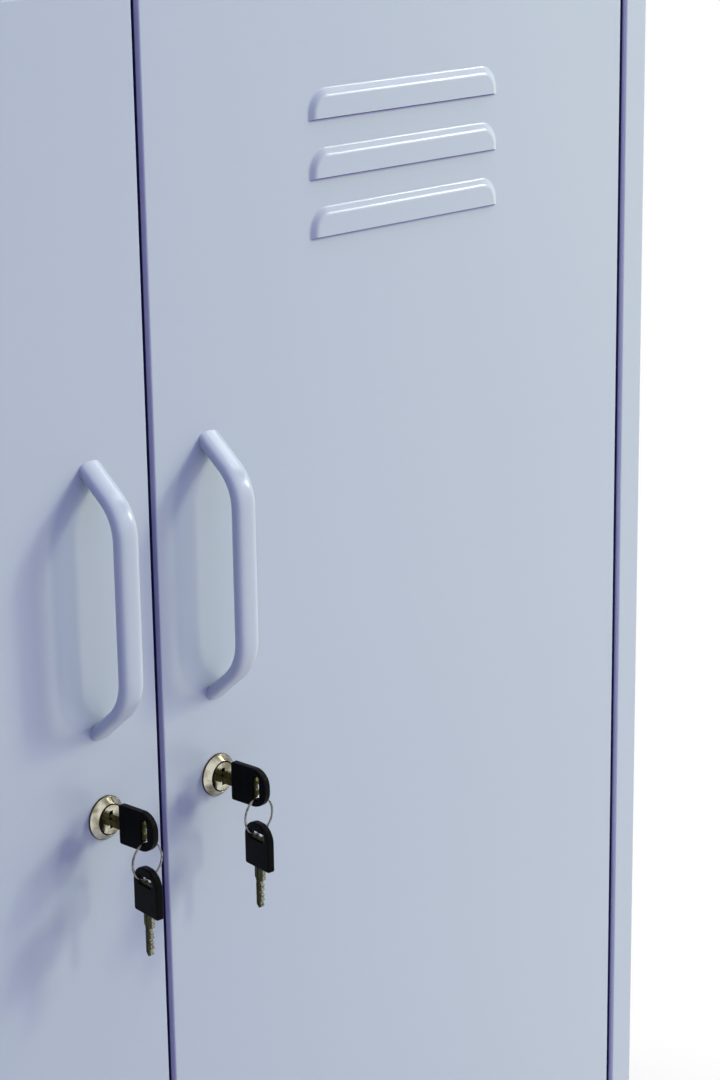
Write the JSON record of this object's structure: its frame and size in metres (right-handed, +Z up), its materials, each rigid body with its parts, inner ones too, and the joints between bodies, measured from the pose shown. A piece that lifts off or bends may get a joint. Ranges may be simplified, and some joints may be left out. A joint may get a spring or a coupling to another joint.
{
  "type": "locker cabinet",
  "caption": "Low steel locker cabinet on legs: hinged doors with pressed louvres, bent bar handles, cam locks with keys, and a shelf behind each door.",
  "frame": {"origin": "on the floor, under the centre of the whole object's bounding box", "axes": "+X to the right seen from in front, +Y from the doors to the back, +Z up"},
  "size_m": [0.8, 0.4395, 1.01],
  "materials": {
    "powder_coat": "smooth semi-gloss powder coat, pale periwinkle",
    "zinc_steel": "bright zinc plating",
    "glide_plastic": "moulded, matt",
    "nylon": "moulded nylon",
    "buffer_rubber": "soft rubber",
    "nickel": "polished nickel plating",
    "key_brass": "worn nickel over brass",
    "key_plastic": "moulded, fine grain",
    "ring_steel": "plated spring steel"
  },
  "bodies": {
    "carcass": {"side_panel_left": "powder_coat", "side_panel_right": "powder_coat", "top_panel": "powder_coat", "bottom_panel": "powder_coat", "back_panel": "powder_coat", "centre_partition": "powder_coat", "shelf_left": "powder_coat", "shelf_right": "powder_coat", "shelf_clips": "zinc_steel", "leg_front_left": "powder_coat", "glide_front_left": "glide_plastic", "leg_front_right": "powder_coat", "glide_front_right": "glide_plastic", "leg_rear_left": "powder_coat", "glide_rear_left": "glide_plastic", "leg_rear_right": "powder_coat", "glide_rear_right": "glide_plastic", "leg_bolts": "zinc_steel", "leg_nuts": "zinc_steel", "back_screws": "zinc_steel", "pivot_pins": "zinc_steel", "door_buffers": "buffer_rubber"},
    "left_door": {"door_left": "powder_coat", "door_stiffener_left": "powder_coat", "pivot_bushes_left": "nylon", "handle_left": "powder_coat", "handle_screws_left": "zinc_steel", "lock_housing_left": "nickel", "lock_clip_left": "zinc_steel"},
    "left_lock_plug": {"lock_plug_left": "nickel", "lock_cam_left": "zinc_steel", "cam_screw_left": "zinc_steel"},
    "left_key": {"key_blade_left": "key_brass", "key_head_left": "key_plastic"},
    "left_ring": {"key_ring_left": "ring_steel"},
    "left_spare_key": {"spare_blade_left": "key_brass", "spare_head_left": "key_plastic"},
    "right_door": {"door_right": "powder_coat", "door_stiffener_right": "powder_coat", "pivot_bushes_right": "nylon", "handle_right": "powder_coat", "handle_screws_right": "zinc_steel", "lock_housing_right": "nickel", "lock_clip_right": "zinc_steel"},
    "right_lock_plug": {"lock_plug_right": "nickel", "lock_cam_right": "zinc_steel", "cam_screw_right": "zinc_steel"},
    "right_key": {"key_blade_right": "key_brass", "key_head_right": "key_plastic"},
    "right_ring": {"key_ring_right": "ring_steel"},
    "right_spare_key": {"spare_blade_right": "key_brass", "spare_head_right": "key_plastic"}
  },
  "joints": [
    {"name": "left_door_hinge", "type": "hinge", "parent": "carcass", "child": "left_door", "pos_m": [-0.366, -0.17125, 0.585], "axis": [0, 0, -1], "range_deg": [0, 110]},
    {"name": "left_lock_turn", "type": "hinge", "parent": "left_door", "child": "left_lock_plug", "pos_m": [-0.039, -0.18025, 0.5865], "axis": [0, 1, 0], "range_deg": [0, 90]},
    {"name": "left_key_pull", "type": "slide", "parent": "left_lock_plug", "child": "left_key", "axis": [0, -1, 0], "range_m": [0, 0.018]},
    {"name": "left_ring_swing", "type": "hinge", "parent": "left_key", "child": "left_ring", "pos_m": [-0.039, -0.20925, 0.5809], "axis": [1, 0, 0], "range_deg": [-60, 12]},
    {"name": "left_spare_swing", "type": "hinge", "parent": "left_ring", "child": "left_spare_key", "pos_m": [-0.039, -0.20925, 0.5617], "axis": [1, 0, 0], "range_deg": [-30, 10]},
    {"name": "right_door_hinge", "type": "hinge", "parent": "carcass", "child": "right_door", "pos_m": [0.366, -0.17125, 0.585], "axis": [0, 0, 1], "range_deg": [0, 110]},
    {"name": "right_lock_turn", "type": "hinge", "parent": "right_door", "child": "right_lock_plug", "pos_m": [0.039, -0.18025, 0.5865], "axis": [0, -1, 0], "range_deg": [0, 90]},
    {"name": "right_key_pull", "type": "slide", "parent": "right_lock_plug", "child": "right_key", "axis": [0, -1, 0], "range_m": [0, 0.018]},
    {"name": "right_ring_swing", "type": "hinge", "parent": "right_key", "child": "right_ring", "pos_m": [0.039, -0.20925, 0.5809], "axis": [1, 0, 0], "range_deg": [-60, 12]},
    {"name": "right_spare_swing", "type": "hinge", "parent": "right_ring", "child": "right_spare_key", "pos_m": [0.039, -0.20925, 0.5617], "axis": [1, 0, 0], "range_deg": [-30, 10]}
  ]
}
